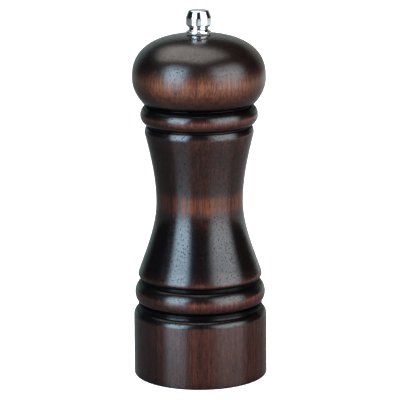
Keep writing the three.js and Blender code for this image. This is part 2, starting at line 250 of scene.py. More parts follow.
def walnut_material(name, stain, toner_shade_highlight_bands, left_painted_shade, right_painted_shade, gloss, amber_highlight):
    """Dark stain and black spray under semi-gloss lacquer. The black is sprayed by height, in the given
    bands, which are partly real and partly painted light: painted shade in the grooves and at the seam, and
    painted highlight where they are light, on the beads, the waist and the head's lower half. Painted shade
    makes it darker towards -X and +X: one argument says where that starts and ends on the left, as the X of
    the outward direction, and how much it adds, another how much is added on the right. Amber streaks at one
    height, given with their strength, are painted highlight in the wood's fibres. The lacquer is open over
    fine pores."""
    made, g = new_material(name)
    place = millimetres(g)
    tone, streak, fleck, pores = grain(g, place)
    colour = g.ramp(tone, stain)

    height = g.split(place)[2]
    # Painted highlight: amber streaks at one height, where the front lights catch the fibres.
    highlight_z, highlight_amount = amber_highlight
    beside = g.math("ABSOLUTE", g.math("SUBTRACT", height, highlight_z))
    painted_highlight = g.range(beside, HIGHLIGHT_CORE, HIGHLIGHT_REACH, highlight_amount, 0.0, smooth=True)
    painted_highlight = g.math("MULTIPLY", painted_highlight, g.range(streak, 0.42, 0.56, smooth=True))
    colour = g.mix(painted_highlight, colour, AMBER_HIGHLIGHT)
    colour = g.mix(g.math("MULTIPLY", pores, 0.7), colour, PORE_BLACK)

    # Toner by height: partly sprayed, partly painted shade in the grooves and at the seam, and painted
    # highlight where the bands are light.
    bands = [(z / HEIGHT, (amount, amount, amount)) for z, amount in toner_shade_highlight_bands]
    toner_shade_highlight = g.ramp(g.math("DIVIDE", height, HEIGHT), bands, "EASE")
    lacquer = g.range(toner_shade_highlight, *GROOVE_TONER_AND_SHADE, 1.0, GROOVE_LACQUER)
    flat = g.scaled(place, (1, 1, 0))
    outwards = g.node("ShaderNodeVectorMath", {"operation": "NORMALIZE"}, Vector=flat).outputs[0]
    across = g.split(outwards)[0]
    # Painted shade on the sides: darker towards -X and +X.
    start, end, amount = left_painted_shade
    left = g.range(across, start, end, 0.0, amount, smooth=True)
    side = g.math("ADD", left, g.range(across, *RIGHT_PAINTED_SHADE_SPAN, 0.0, right_painted_shade, smooth=True))
    toner_shade_highlight = g.math("ADD", toner_shade_highlight, g.math("MULTIPLY", g.math("SUBTRACT", 1.0, toner_shade_highlight), side))
    colour = g.mix(toner_shade_highlight, colour, TONER_AND_SHADE_BLACK)

    speck_field = g.noise(g.scaled(place, (1, 1, 0.65)), 2.6, 1.0)
    specks = g.range(speck_field, 0.605, 0.65, smooth=True)
    lacquer = g.math("MULTIPLY", lacquer, g.range(specks, 0.0, 1.0, 1.0, PORE_LACQUER))
    ripple = g.weighted((fleck, 0.5), (pores, -0.5))
    shader = g.node(
        "ShaderNodeBsdfPrincipled",
        Base_Color=colour, Roughness=0.5, Specular_IOR_Level=0.0,
        Coat_Weight=lacquer, Coat_Roughness=gloss, Coat_IOR=LACQUER_IOR,
    )
    dips = g.weighted((ripple, 0.5), (specks, -1.0))
    g.put(shader.inputs["Coat Normal"], bumped(g, dips, 0.3, 0.035))
    finish_shader(g, shader, bumped(g, ripple, 0.5, 0.08))
    return made


# Stain from the darkest grain to the lightest.
BODY_STAIN = [
    (0.0, (0.04, 0.011, 0.009)),
    (0.35, (0.08, 0.021, 0.014)),
    (0.65, (0.14, 0.037, 0.023)),
    (1.0, (0.25, 0.074, 0.042)),
]
# The head's stain is lighter and more orange than the body's: painted highlight, for the front lights caught
# in the fibres of its lower half.
HEAD_STAIN_AND_HIGHLIGHT = [
    (0.0, (0.06, 0.018, 0.009)),
    (0.35, (0.11, 0.032, 0.016)),
    (0.65, (0.19, 0.06, 0.029)),
    (1.0, (0.3, 0.105, 0.05)),
]

# Height in millimetres, and how dark it is there, from 0 to 1: partly sprayed black toner, partly painted
# shade in the grooves and at the seam, and painted highlight where it is light, on the beads, the waist and
# the head's lower half.
BODY_TONER_SHADE_HIGHLIGHT = [
    (0, 0.85),
    (4, 0.6),
    (23, 0.57),
    (25, 0.55),
    (26.6, 0.96),
    (28.4, 1.0),
    (31.6, 1.0),
    (33.5, 0.6),
    (35.6, 0.15),
    (37, 0.85),
    (38, 0.97),
    (39.8, 1.0),
    (42.2, 1.0),
    (43, 0.5),
    (45, 0.9),
    (48, 0.975),
    (63, 0.97),
    (69, 0.85),
    (73, 0.38),
    (76, 0.38),
    (80, 0.8),
    (97, 0.82),
    (102.4, 0.7),
    (104, 0.96),
    (105.4, 1.0),
    (107, 0.85),
    (109.6, 0.1),
    (111.5, 0.93),
    (112.6, 1.0),
]
HEAD_TONER_SHADE_HIGHLIGHT = [
    (115.2, 1.0),
    (117, 0.85),
    (120, 0.6),
    (122.6, 0.2),
    (125, 0.0),
    (127.5, 0.35),
    (130, 0.8),
    (132, 0.95),
    (143, 0.97),
]

BARE_WOOD = [(0.0, (0.2, 0.1, 0.045)), (0.5, (0.38, 0.22, 0.11)), (1.0, (0.55, 0.36, 0.2))]
BARE_PORE = (0.09, 0.045, 0.02, 1)


def raw_wood_material():
    """Bare turned wood inside the bore, never stained."""
    made, g = new_material("wood_bare")
    tone, _, fleck, pores = grain(g, millimetres(g))
    colour = g.mix(g.math("MULTIPLY", pores, 0.5), g.ramp(tone, BARE_WOOD), BARE_PORE)
    shader = g.node(
        "ShaderNodeBsdfPrincipled", Base_Color=colour, Roughness=0.75, Specular_IOR_Level=0.3,
    )
    finish_shader(g, shader, bumped(g, g.weighted((fleck, 1.0), (pores, -1.0)), 0.6, 0.1))
    return made


# ---------------------------------------------------------------- metals and plastics
def metal_material(name, dark, light, roughness, streak, bump):
    """Metal between two colours and two roughnesses, with fine working marks: streak stretches their noise
    along X, Y and Z, and bump is how strongly they show."""
    made, g = new_material(name)
    place = millimetres(g)
    marks = g.noise(g.scaled(place, streak), 6.0, 3.0, 0.65)
    smudge = g.noise(place, 0.35, 3.0, 0.6)
    colour = g.mix(g.range(smudge, 0.3, 0.7), (*dark, 1), (*light, 1))
    rough = g.range(g.weighted((marks, 0.6), (smudge, 0.4)), 0.3, 0.7, *roughness)
    shader = g.node(
        "ShaderNodeBsdfPrincipled", Base_Color=colour, Metallic=1.0, Roughness=rough,
    )
    finish_shader(g, shader, bumped(g, marks, bump, 0.02))
    return made


NYLON_DARK, NYLON_LIGHT = (0.66, 0.63, 0.53, 1), (0.8, 0.78, 0.69, 1)


def nylon_material():
    """Off-white nylon, cloudy inside, with a fine moulded grain."""
    made, g = new_material("nylon")
    place = millimetres(g)
    cloud = g.noise(place, 0.8, 4.0, 0.6)
    colour = g.mix(cloud, NYLON_DARK, NYLON_LIGHT)
    rough = g.range(cloud, 0.3, 0.7, 0.38, 0.52)
    shader = g.node(
        "ShaderNodeBsdfPrincipled",
        Base_Color=colour, Roughness=rough, Subsurface_Weight=0.15, Subsurface_Scale=0.001,
    )
    finish_shader(g, shader, bumped(g, g.noise(place, 9.0), 0.15, 0.02))
    return made


# ---------------------------------------------------------------- outlines
def arc(centre_r, centre_z, radius, start, end, steps):
    """Points of an arc in the (radius, height) plane, angles in degrees from outwards."""
    turns = [math.radians(start + (end - start) * i / steps) for i in range(steps + 1)]
    return [(centre_r + radius * math.cos(t), centre_z + radius * math.sin(t)) for t in turns]


def bead(bottom, top, foot, crown, steps):
    """Half-round bead from its lower foot over its crown to its upper foot."""
    half, rise = (top - bottom) / 2, crown - foot
    radius = (half * half + rise * rise) / (2 * rise)
    reach = math.degrees(math.asin(half / radius))
    return arc(crown - radius, (bottom + top) / 2, radius, -reach, reach, steps)


def bezier(p0, p1, p2, p3, steps):
    """Cubic curve from p0 to p3, pulled towards p1 and p2."""
    points = []
    for i in range(steps + 1):
        t = i / steps
        weights = ((1 - t) ** 3, 3 * t * (1 - t) ** 2, 3 * t * t * (1 - t), t ** 3)
        points.append(tuple(sum(w * p[k] for w, p in zip(weights, (p0, p1, p2, p3))) for k in (0, 1)))
    return points


def swell(widest_r, widest_z, reach, power, end_r, steps):
    """Superellipse from its widest point towards the axis."""
    end = math.acos((end_r / widest_r) ** (power / 2))
    turns = [end * i / steps for i in range(steps + 1)]
    return [
        (widest_r * math.cos(t) ** (2 / power), widest_z + reach * math.sin(t) ** (2 / power))
        for t in turns
    ]


MOST_ROOM = 0.49  # share of a straight that a fillet may take


def rounded(corners, steps):
    """Rounds each corner (r, z, fillet radius) of an open outline with a smooth curve."""
    points = [Vector(corners[0][:2])]
    for before, here, after in zip(corners, corners[1:], corners[2:]):
        corner, fillet = Vector(here[:2]), here[2]
        back, on = (Vector(before[:2]) - corner), (Vector(after[:2]) - corner)
        if fillet <= 0:
            points.append(corner)
            continue
        half = back.angle(on) / 2
        room = min(fillet / math.tan(half), MOST_ROOM * back.length, MOST_ROOM * on.length)
        start, end = corner + back.normalized() * room, corner + on.normalized() * room
        for i in range(steps + 1):
            t = i / steps
            points.append(start * (1 - t) ** 2 + corner * 2 * t * (1 - t) + end * t * t)
    points.append(Vector(corners[-1][:2]))
    return [tuple(p) for p in points]


# ---------------------------------------------------------------- meshes
def publish(name, mesh, body, materials, node):
    """Makes the mesh a piece that rides on a body, takes the given materials and replaces a CAD node, which
    it hides.
    Without a body it is left unattached."""
    made = bpy.data.objects.new(name, mesh)
    bpy.context.scene.collection.objects.link(made)
    for each in materials:
        mesh.materials.append(each)
    if body:
        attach(made, body)
    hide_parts(node)
    return made


def mesh_from(bm, name, sharp=32):
    """Smooth-shaded mesh, with edges that turn by more than so many degrees left sharp."""
    bmesh.ops.recalc_face_normals(bm, faces=bm.faces)
    for face in bm.faces:
        face.smooth = True
    for edge in bm.edges:
        if len(edge.link_faces) == 2:
            edge.smooth = edge.calc_face_angle() < math.radians(sharp)
    mesh = bpy.data.meshes.new(name)
    bm.to_mesh(mesh)
    bm.free()
    return mesh


def lathe(outline, segments, closed=False, material_of=None):
    """Turns a (radius, height) outline in millimetres round Z into a bmesh. material_of(k) gives the
    material index of the band from the outline's point k to the next."""
    bm = bmesh.new()
    rings = []
    for r, z in outline:
        if r == 0:
            rings.append([bm.verts.new((0, 0, z * MM))])
            continue
        turns = [2 * math.pi * i / segments for i in range(segments)]
        rings.append([bm.verts.new((r * math.cos(t) * MM, r * math.sin(t) * MM, z * MM)) for t in turns])
    pairs = list(zip(rings, rings[1:]))
    if closed:
        pairs.append((rings[-1], rings[0]))
    for k, (low, high) in enumerate(pairs):
        for i in range(segments):
            j = (i + 1) % segments
            corners = [low[i % len(low)], low[j % len(low)], high[j % len(high)], high[i % len(high)]]
            corners = list(dict.fromkeys(corners))
            if len(corners) > 2:
                bm.faces.new(corners).material_index = material_of(k) if material_of else 0
    return bm


# ---------------------------------------------------------------- turned wood
WOOD_SEGMENTS = 160
BASE_R = 27.7
FOOT_EDGE_R = 0.7
SHOULDER = {"z": 25.4, "r": 3.6}
LOW_GROOVE = {"z": 29.9, "floor": 25.4}
LOW_BEAD = {"bottom": 30.6, "top": 39.7, "foot": 25.1, "crown": 27.1}
SKIRT_GROOVE = {"z": 40.5, "floor": 24.6}
SKIRT_LIP = {"z": 42.9, "r": 25.7, "round": 1.6}
SKIRT_START = (SKIRT_LIP["r"] - 0.05, SKIRT_LIP["z"] + 0.6)
WAIST = (18.0, 73.2)
SKIRT_PULLS = ((22.45, 52.8), (18.0, 63.1))
NECK_PULLS = ((18.0, 83.5), (20.05, 91.9))
TOP_LIP = {"z": 102.3, "r": 22.55, "round": 6}
NECK_END = (TOP_LIP["r"] - 0.3, TOP_LIP["z"] - 1)
TOP_GROOVE = {"z": 105.35, "floor": 21.2, "half": 0.2, "edge": 0.35, "lean": 0.05}
TOP_BEAD = {"bottom": 105.7, "top": 114.0, "foot": 21.6, "crown": 24.25}
LINE = {"rise": 0.35, "half": 0.2, "foot_half": 0.32, "groove_half": 0.55}
RECESS = {"r": 22.6, "z": 6.6}
POCKET = {"r": 17.2, "z": 30.5}
CHAMBER_R = 13.5
EDGE_BREAK = 0.3
HEAD_SWELL = {
    "r": 27.48, "z": 125, "top_power": 2.45, "foot_depth": 19.2, "foot_power": 1.95, "foot_r": 21.2,
}
HEAD_SEAT_R = HEAD_SWELL["foot_r"] - 0.4
SEAM_ROOM = 0.05  # the head's curve starts at least this far above its seat
TENON = {"r": 13.2, "length": 9, "edge": 0.5}
HEAD_HOLE_R = 4
KNOB_SEAT = {"r": 4.6, "z": 142}


def lined_groove(z, floor):
    """Groove with a fine raised line round its floor."""
    top = floor + LINE["rise"]
    return rounded(
        [
            (floor, z - LINE["groove_half"], 0),
            (floor, z - LINE["foot_half"], 0.1),
            (top, z - LINE["half"], 0.12),
            (top, z + LINE["half"], 0.12),
            (floor, z + LINE["foot_half"], 0.1),
            (floor, z + LINE["groove_half"], 0),
        ],
        3,
    )


def body_outline():
    """Outside from the foot up, then the bore from the top down."""
    groove_low, groove_high = TOP_GROOVE["z"] - TOP_GROOVE["half"], TOP_GROOVE["z"] + TOP_GROOVE["half"]
    groove_floor, lean = TOP_GROOVE["floor"], TOP_GROOVE["lean"]
    outside = [
        (RECESS["r"] + EDGE_BREAK, 0),
        *arc(BASE_R - FOOT_EDGE_R, FOOT_EDGE_R, FOOT_EDGE_R, -90, 0, 6),
        *arc(BASE_R - SHOULDER["r"], SHOULDER["z"], SHOULDER["r"], 0, 65, 12),
        *lined_groove(LOW_GROOVE["z"], LOW_GROOVE["floor"]),
        *bead(LOW_BEAD["bottom"], LOW_BEAD["top"], LOW_BEAD["foot"], LOW_BEAD["crown"], 22),
        *lined_groove(SKIRT_GROOVE["z"], SKIRT_GROOVE["floor"]),
        *arc(SKIRT_LIP["r"] - SKIRT_LIP["round"], SKIRT_LIP["z"], SKIRT_LIP["round"], -70, 0, 8),
        *bezier(SKIRT_START, *SKIRT_PULLS, WAIST, 28),
        *bezier(WAIST, *NECK_PULLS, NECK_END, 26)[1:],
        *arc(TOP_LIP["r"] - TOP_LIP["round"], TOP_LIP["z"], TOP_LIP["round"], 0, 26, 9),
        (groove_floor + TOP_GROOVE["edge"], groove_low - lean),
        (groove_floor, groove_low + lean),
        (groove_floor, groove_high),
        *bead(TOP_BEAD["bottom"], TOP_BEAD["top"], TOP_BEAD["foot"], TOP_BEAD["crown"], 20),
        (TOP_BEAD["foot"], BODY_TOP),
    ]
    inside = [
        (CHAMBER_R + EDGE_BREAK, BODY_TOP),
        (CHAMBER_R, BODY_TOP - EDGE_BREAK),
        (CHAMBER_R, POCKET["z"]),
        (POCKET["r"], POCKET["z"]),
        (POCKET["r"], RECESS["z"]),
        (RECESS["r"], RECESS["z"]),
        (RECESS["r"], EDGE_BREAK),
    ]
    return outside, inside


def make_body(walnut, bare):
    """Body stained outside and bare in its bore."""
    outside, inside = body_outline()
    stained = len(outside)
    bm = lathe(outside + inside, WOOD_SEGMENTS, closed=True, material_of=lambda k: 0 if k < stained else 1)
    mesh = mesh_from(bm, "mill_body_turned")
    return publish("mill_body_turned", mesh, "body", [walnut, bare], "mill_body")


def make_head(walnut, bare):
    """Head stained outside, with a bare tenon and a bare hole through it."""
    widest = HEAD_SWELL["r"], HEAD_SWELL["z"]
    seam = HEAD_FOOT + TENON["length"]
    lower = swell(*widest, -HEAD_SWELL["foot_depth"], HEAD_SWELL["foot_power"], HEAD_SWELL["foot_r"], 24)
    dome = swell(*widest, HEAD_TOP - HEAD_SWELL["z"], HEAD_SWELL["top_power"], KNOB_SEAT["r"], 40)
    tenon = [
        (HEAD_HOLE_R, HEAD_FOOT),
        (TENON["r"] - TENON["edge"], HEAD_FOOT),
        (TENON["r"], HEAD_FOOT + TENON["edge"]),
        (TENON["r"], seam),
    ]
    outside = [(HEAD_SEAT_R, seam), *[(r, z) for r, z in lower[::-1] if z > seam + SEAM_ROOM], *dome[1:]]
    hole = [(KNOB_SEAT["r"], KNOB_SEAT["z"]), (HEAD_HOLE_R, KNOB_SEAT["z"])]
    first, last = len(tenon) - 1, len(tenon) + len(outside)
    bm = lathe(
        tenon + outside + hole, WOOD_SEGMENTS, closed=True,
        material_of=lambda k: 0 if first <= k < last else 1,
    )
    mesh = mesh_from(bm, "mill_head_turned")
    return publish("mill_head_turned", mesh, "head", [walnut, bare], "mill_head")


# ---------------------------------------------------------------- knob
KNOB = {
    "r": 5.2, "flange": 0.7, "neck_r": 3.8, "neck_z": 1.75, "barrel_z": 3.35, "crown": 3.0, "crown_r": 4.2,
}
KNOB_HOLE = {"r": 2.75, "from_top": 2.9}
KNOB_SEGMENTS = 96


def knob_outline():
    """Flange, neck, barrel and crown of the knob from its hole to its top."""
    z = KNOB_BOTTOM
    return rounded(
        [
            (KNOB_HOLE["r"], z, 0),
            (KNOB["r"], z, 0.2),
            (KNOB["r"], z + KNOB["flange"], 0.3),
            (KNOB["neck_r"] + 0.55, z + KNOB["flange"] + 0.3, 0.5),
            (KNOB["neck_r"], z + KNOB["neck_z"], 1.0),
            (KNOB["neck_r"] + 0.3, z + KNOB["neck_z"] + 0.7, 1.2),
            (KNOB["r"], z + KNOB["barrel_z"], 0.5),
            (KNOB["r"], HEIGHT - KNOB["crown"], 0.5),
            (KNOB["crown_r"], HEIGHT - 0.3, 0.5),
            (KNOB["crown_r"] - 0.5, HEIGHT - 0.04, 0.5),
            (0, HEIGHT, 0),
        ],
        6,
    )


def make_knob(chrome):
    """Polished knob with a blind hole for the shaft's end."""
    hole_top = HEIGHT - KNOB_HOLE["from_top"]
    outline = [*knob_outline(), (0, hole_top), (KNOB_HOLE["r"], hole_top)]
    mesh = mesh_from(lathe(outline, KNOB_SEGMENTS, closed=True), "knob_chromed")
    return publish("knob_chromed", mesh, "knob", [chrome], "knob")


# ---------------------------------------------------------------- solid helpers
def prism(outline, bottom, top, steps=1, shape=None):
    """Solid over an (x, y) outline in millimetres. shape(share, height) may turn and scale each level."""
    bm = bmesh.new()
    levels = []
    for i in range(steps + 1):
        z = bottom + (top - bottom) * i / steps
        turn, size = shape(i / steps, z - bottom) if shape else (0, 1)
        c, d = math.cos(turn) * size * MM, math.sin(turn) * size * MM
        levels.append([bm.verts.new((x * c - y * d, x * d + y * c, z * MM)) for x, y in outline])
    bm.faces.new(levels[0][::-1])
    bm.faces.new(levels[-1])
    for low, high in zip(levels, levels[1:]):
        for i in range(len(outline)):
            j = (i + 1) % len(outline)
            bm.faces.new((low[i], low[j], high[j], high[i]))
    return bm


def square_outline(side, corner):
    """Square with its corners cut at 45 degrees."""
    h, k = side / 2, side / 2 - corner
    return [(h, -k), (h, k), (k, h), (-k, h), (-h, k), (-h, -k), (-k, -h), (k, -h)]


def slab(size_x, size_y, bottom, top):
    x, y = size_x / 2, size_y / 2
    return prism([(-x, -y), (x, -y), (x, y), (-x, y)], bottom, top)


def rod(radius, bottom, top, segments):
    return lathe([(0, bottom), (radius, bottom), (radius, top), (0, top)], segments)


THREAD_SEGMENTS = 28
THREAD_ROWS = 9  # to each turn
THREAD_LAND = 0.12  # share of half a pitch that stays flat at the crest, and as much at the root


def threaded(radius, depth, pitch, bottom, top, taper=None, head=()):
    """Rod with a helical thread. taper(z) may narrow it; head is an outline that goes before its bottom."""
    bm = lathe(list(head) or [(0, bottom)], THREAD_SEGMENTS)
    before = list(bm.verts)[-THREAD_SEGMENTS:]
    rows = round((top - bottom) / pitch * THREAD_ROWS)
    for i in range(rows + 1):
        z = bottom + (top - bottom) * i / rows
        size = taper(z) if taper else 1
        row = []
        for k in range(THREAD_SEGMENTS):
            flank = abs(2 * ((z / pitch - k / THREAD_SEGMENTS) % 1) - 1)
            sunk = min(1, max(0, (flank - THREAD_LAND) / (1 - 2 * THREAD_LAND)))
            r = size * (radius - depth * sunk) * MM
            t = 2 * math.pi * k / THREAD_SEGMENTS
            row.append(bm.verts.new((r * math.cos(t), r * math.sin(t), z * MM)))
        for k in range(THREAD_SEGMENTS):
            j = (k + 1) % THREAD_SEGMENTS
            corners = [before[k % len(before)], before[j % len(before)], row[j], row[k]]
            bm.faces.new(list(dict.fromkeys(corners)))
        before = row
    bm.faces.new(before)
    return bm


def moved(bm, x=0, y=0, turn=0):
    """Turned round Z, then moved by x and y in millimetres."""
    bmesh.ops.rotate(bm, verts=bm.verts, matrix=Matrix.Rotation(turn, 3, "Z"))
    bmesh.ops.translate(bm, verts=bm.verts, vec=Vector((x, y, 0)) * MM)
    return bm


WELD = 0.002  # vertices closer than this become one
NO_LENGTH = 0.001  # and edges shorter than this go


def combined(base, others, operation="DIFFERENCE"):
    """The base solid with the others cut from it, joined to it or kept in common with it."""
    made = []
    for bm in (base, *others):
        bmesh.ops.recalc_face_normals(bm, faces=bm.faces)
        mesh = bpy.data.meshes.new("working")
        bm.to_mesh(mesh)
        bm.free()
        made.append(bpy.data.objects.new("working", mesh))
        bpy.context.scene.collection.objects.link(made[-1])
    for other in made[1:]:
        step = made[0].modifiers.new("step", "BOOLEAN")
        step.object, step.operation, step.solver = other, operation, "EXACT"
    bpy.context.view_layer.update()
    result = made[0].evaluated_get(bpy.context.evaluated_depsgraph_get())
    bm = bmesh.new()
    bm.from_mesh(result.to_mesh())
    result.to_mesh_clear()
    for each in made:
        bpy.data.meshes.remove(each.data)
    bmesh.ops.remove_doubles(bm, verts=bm.verts, dist=WELD * MM)
    bmesh.ops.dissolve_degenerate(bm, edges=bm.edges, dist=NO_LENGTH * MM)
    return bm


def centre_of(node):
    """Where a CAD node stands, seen from above, in millimetres."""
    low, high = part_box(node)
    middle = (low + high) / 2
    return middle.x / MM, middle.y / MM


def piece(bm, node, body, material, sharp=32):
    """Publishes a fine solid in place of a CAD node."""
    return publish(node + "_fine", mesh_from(bm, node + "_fine", sharp), body, [material], node)


# ---------------------------------------------------------------- fasteners
SMALL_SEGMENTS = 72
SCREW = {
    "shank": 1.1, "head": 2.1, "head_height": 1.2, "pitch": 1.0, "depth": 0.32, "point": 3.0,
    "slot": 0.5, "slot_depth": 0.75,
}


def make_screw(node, body, material):
    """Domed cross-head screw, driven upwards."""
    low, tip = span(node)
    under = low + SCREW["head_height"]
    r = SCREW["head"]
    head = rounded(
        [
            (0, low, 0),
            (r * 0.5, low + 0.03, 2.0),
            (r * 0.86, low + 0.36, 0.9),
            (r, low + 0.85, 0.5),
            (r, under, 0.15),
            (SCREW["shank"], under, 0.25),
            (SCREW["shank"] - 0.1, under + 0.6, 0),
        ],
        4,
    )

    def taper(z):
        return min(1, 0.12 + 0.88 * (tip - z) / SCREW["point"])

    shank = threaded(SCREW["shank"], SCREW["depth"], SCREW["pitch"], under + 0.7, tip, taper, head)
    wide, narrow, slot_top = r * 1.25, SCREW["slot"], low + SCREW["slot_depth"]
    slots = [slab(wide, narrow, low - 1, slot_top), slab(narrow, wide, low - 1, slot_top)]
    cross = combined(slots[0], slots[1:], "UNION")
    screw = moved(combined(shank, [cross]), *centre_of(node))
    return piece(screw, node, body, material, sharp=28)


def make_washer(node, body, material, inner, edge):
    """Flat ring with rounded edges. Its section starts and ends at the middle of the underside."""
    left, right = span(node, 0)
    outer = (right - left) / 2
    bottom, top = span(node)
    middle = (inner + outer) / 2
    section = rounded(
        [
            (middle, bottom, 0),
            (outer, bottom, edge),
            (outer, top, edge),
            (inner, top, edge),
            (inner, bottom, edge),
            (middle - 0.01, bottom, 0),
        ],
        4,
    )
    return piece(lathe(section, SMALL_SEGMENTS, closed=True), node, body, material)


NUT = {"across": 8, "bore": 2.86, "depth": 0.36, "pitch": 0.8}
COUNTERSINK = {"wide": NUT["bore"] + 0.15, "narrow": NUT["bore"] - 0.4, "depth": 0.55, "segments": 48}


def make_nut(material):
    """Hexagon with its corners turned down at both faces, tapped through. It stands the way round that the
    CAD nut does, told from which way its box is longer."""
    bottom, top = span("rotor_nut")
    corner = NUT["across"] / math.sqrt(3)
    hexagon = [(corner * math.cos(math.pi * i / 3), corner * math.sin(math.pi * i / 3)) for i in range(6)]
    flat = NUT["across"] / 2 - 0.15
    drop = (corner - flat) * math.tan(math.radians(30))
    blank = lathe(
        [(0, bottom), (flat, bottom), (corner, bottom + drop), (corner, top - drop), (flat, top), (0, top)],
        SMALL_SEGMENTS,
    )
    (left, right), (front, back) = span("rotor_nut", 0), span("rotor_nut", 1)
    turn = math.pi / 6 if back - front > right - left else 0
    body = moved(combined(prism(hexagon, bottom, top), [blank], "INTERSECT"), turn=turn)
    past = 2 * NUT["pitch"]
    cutters = [threaded(NUT["bore"], NUT["depth"], NUT["pitch"], bottom - past, top + past)]
    for z, depth in ((bottom - 0.02, COUNTERSINK["depth"]), (top + 0.02, -COUNTERSINK["depth"])):
        funnel = [(0, z), (COUNTERSINK["wide"], z), (COUNTERSINK["narrow"], z + depth), (0, z + depth)]
        cutters.append(lathe(funnel, COUNTERSINK["segments"]))
    return piece(combined(body, cutters), "rotor_nut", "shaft", material, sharp=24)


# ---------------------------------------------------------------- shaft
SHAFT = {
    "side": 5, "corner": 0.28, "lower_z": 6.5, "upper_z": 133, "thread": 2.4, "depth": 0.36, "pitch": 0.8,
}
SHAFT_SEGMENTS = 64
SHOULDER_TRIM = {"end_r": 2.75, "r": 3.7, "height": 0.95}
THREAD_OVERLAP = 1.2


def make_shaft(material):
    """Square rod with a thread turned on each end and its edges broken."""
    bottom, top = span("drive_shaft")
    low, high = SHAFT["lower_z"], SHAFT["upper_z"]
    outline = square_outline(SHAFT["side"], SHAFT["corner"])
    bar = prism(outline, low, high)
    end_r, r, height = SHOULDER_TRIM["end_r"], SHOULDER_TRIM["r"], SHOULDER_TRIM["height"]
    trim = lathe(
        [(0, low), (end_r, low), (r, low + height), (r, high - height), (end_r, high), (0, high)],
        SHAFT_SEGMENTS,
    )

    def taper(z):
        return min(1, 0.86 + 0.35 * min(z - bottom, top - z))

    ends = [
        threaded(SHAFT["thread"], SHAFT["depth"], SHAFT["pitch"], start, stop, taper)
        for start, stop in ((bottom, low + THREAD_OVERLAP), (high - THREAD_OVERLAP, top))
    ]
    rod_with_ends = combined(combined(bar, [trim], "INTERSECT"), ends, "UNION")
    return piece(rod_with_ends, "drive_shaft", "shaft", material, sharp=26)


# ---------------------------------------------------------------- grinding pieces
TEETH = 12
TWIST_PER_MM = 0.045
ROTOR = {"bottom_r": 12, "top_r": 6.7, "top": 18, "depth": 1.5, "hub": 5.4, "bore": 5.6}
ROTOR_SEGMENTS = 96
BURR_GAP = 0.6
STATOR = {
    "throat": 12.6, "mouth": 13.3, "depth": 1.4, "flange": 22.2, "flange_top": 6.3, "barrel": 16.9,
}
SCREW_HOLE = 1.4
BASE_SCREW_AT = 20.1
NOTCH = {"length": 10, "gap": 0.3}
PLATE_SEGMENTS = 120
HOLE_SEGMENTS = 28
# Share of a tooth on its way round, and how much of the depth is cut away there.
TOOTH = [
    (0, 0), (0.07, 0), (0.2, 0), (0.32, 0.22), (0.45, 0.42),
    (0.58, 0.6), (0.72, 0.78), (0.84, 0.93), (0.91, 1), (0.96, 0.86),
]


def toothed_outline(radius, depth):
    """Saw-toothed ring: each tooth has a short land, a long sloping back and a steep face."""
    points = []
    for tooth in range(TEETH):
        for share, sunk in TOOTH:
            angle = 2 * math.pi * (tooth + share) / TEETH
            r = radius - depth * sunk
            points.append((r * math.cos(angle), r * math.sin(angle)))
    return points


def cone_shape(shrink):
    """Leans the teeth and narrows the solid as it rises."""
    return lambda share, height: (TWIST_PER_MM * height, 1 + (shrink - 1) * share)


def cone_slope():
    """How much the rotor's radius shrinks with each millimetre of height."""
    return (ROTOR["bottom_r"] - ROTOR["top_r"]) / (ROTOR["top"] - span("rotor")[0])


def make_rotor(material):
    """Toothed cone with its rims turned off, a hub on top and a square bore."""
    bottom, hub_top = span("rotor")
    r, top, hub_r = ROTOR["bottom_r"], ROTOR["top"], ROTOR["hub"]
    teeth = prism(
        toothed_outline(r, ROTOR["depth"]), bottom, top, steps=26, shape=cone_shape(ROTOR["top_r"] / r),
    )
    broken = lathe(
        [
            (0, bottom),
            (r - 0.5, bottom),
            (r + 0.3, bottom + 0.5),
            (r + 0.5, bottom + 1.5),
            (r + 0.5 - cone_slope() * (top - bottom - 1.9), top - 0.9),
            (ROTOR["top_r"] - 0.5, top),
            (0, top),
        ],
        ROTOR_SEGMENTS,
    )
    hub = lathe(
        [(0, top - 1), (hub_r, top - 1), (hub_r, hub_top - 0.3), (hub_r - 0.3, hub_top), (0, hub_top)],
        SMALL_SEGMENTS,
    )
    bore = prism(square_outline(ROTOR["bore"], 0.25), bottom - 1, hub_top + 1)
    cone = combined(combined(teeth, [broken], "INTERSECT"), [hub], "UNION")
    return piece(combined(cone, [bore]), "rotor", "shaft", material, sharp=24)


def stator_tip(z):
    """Radius of the stator's tooth tips at a height, a burr gap away from the rotor."""
    return ROTOR["bottom_r"] - (z - span("rotor")[0]) * cone_slope() + BURR_GAP


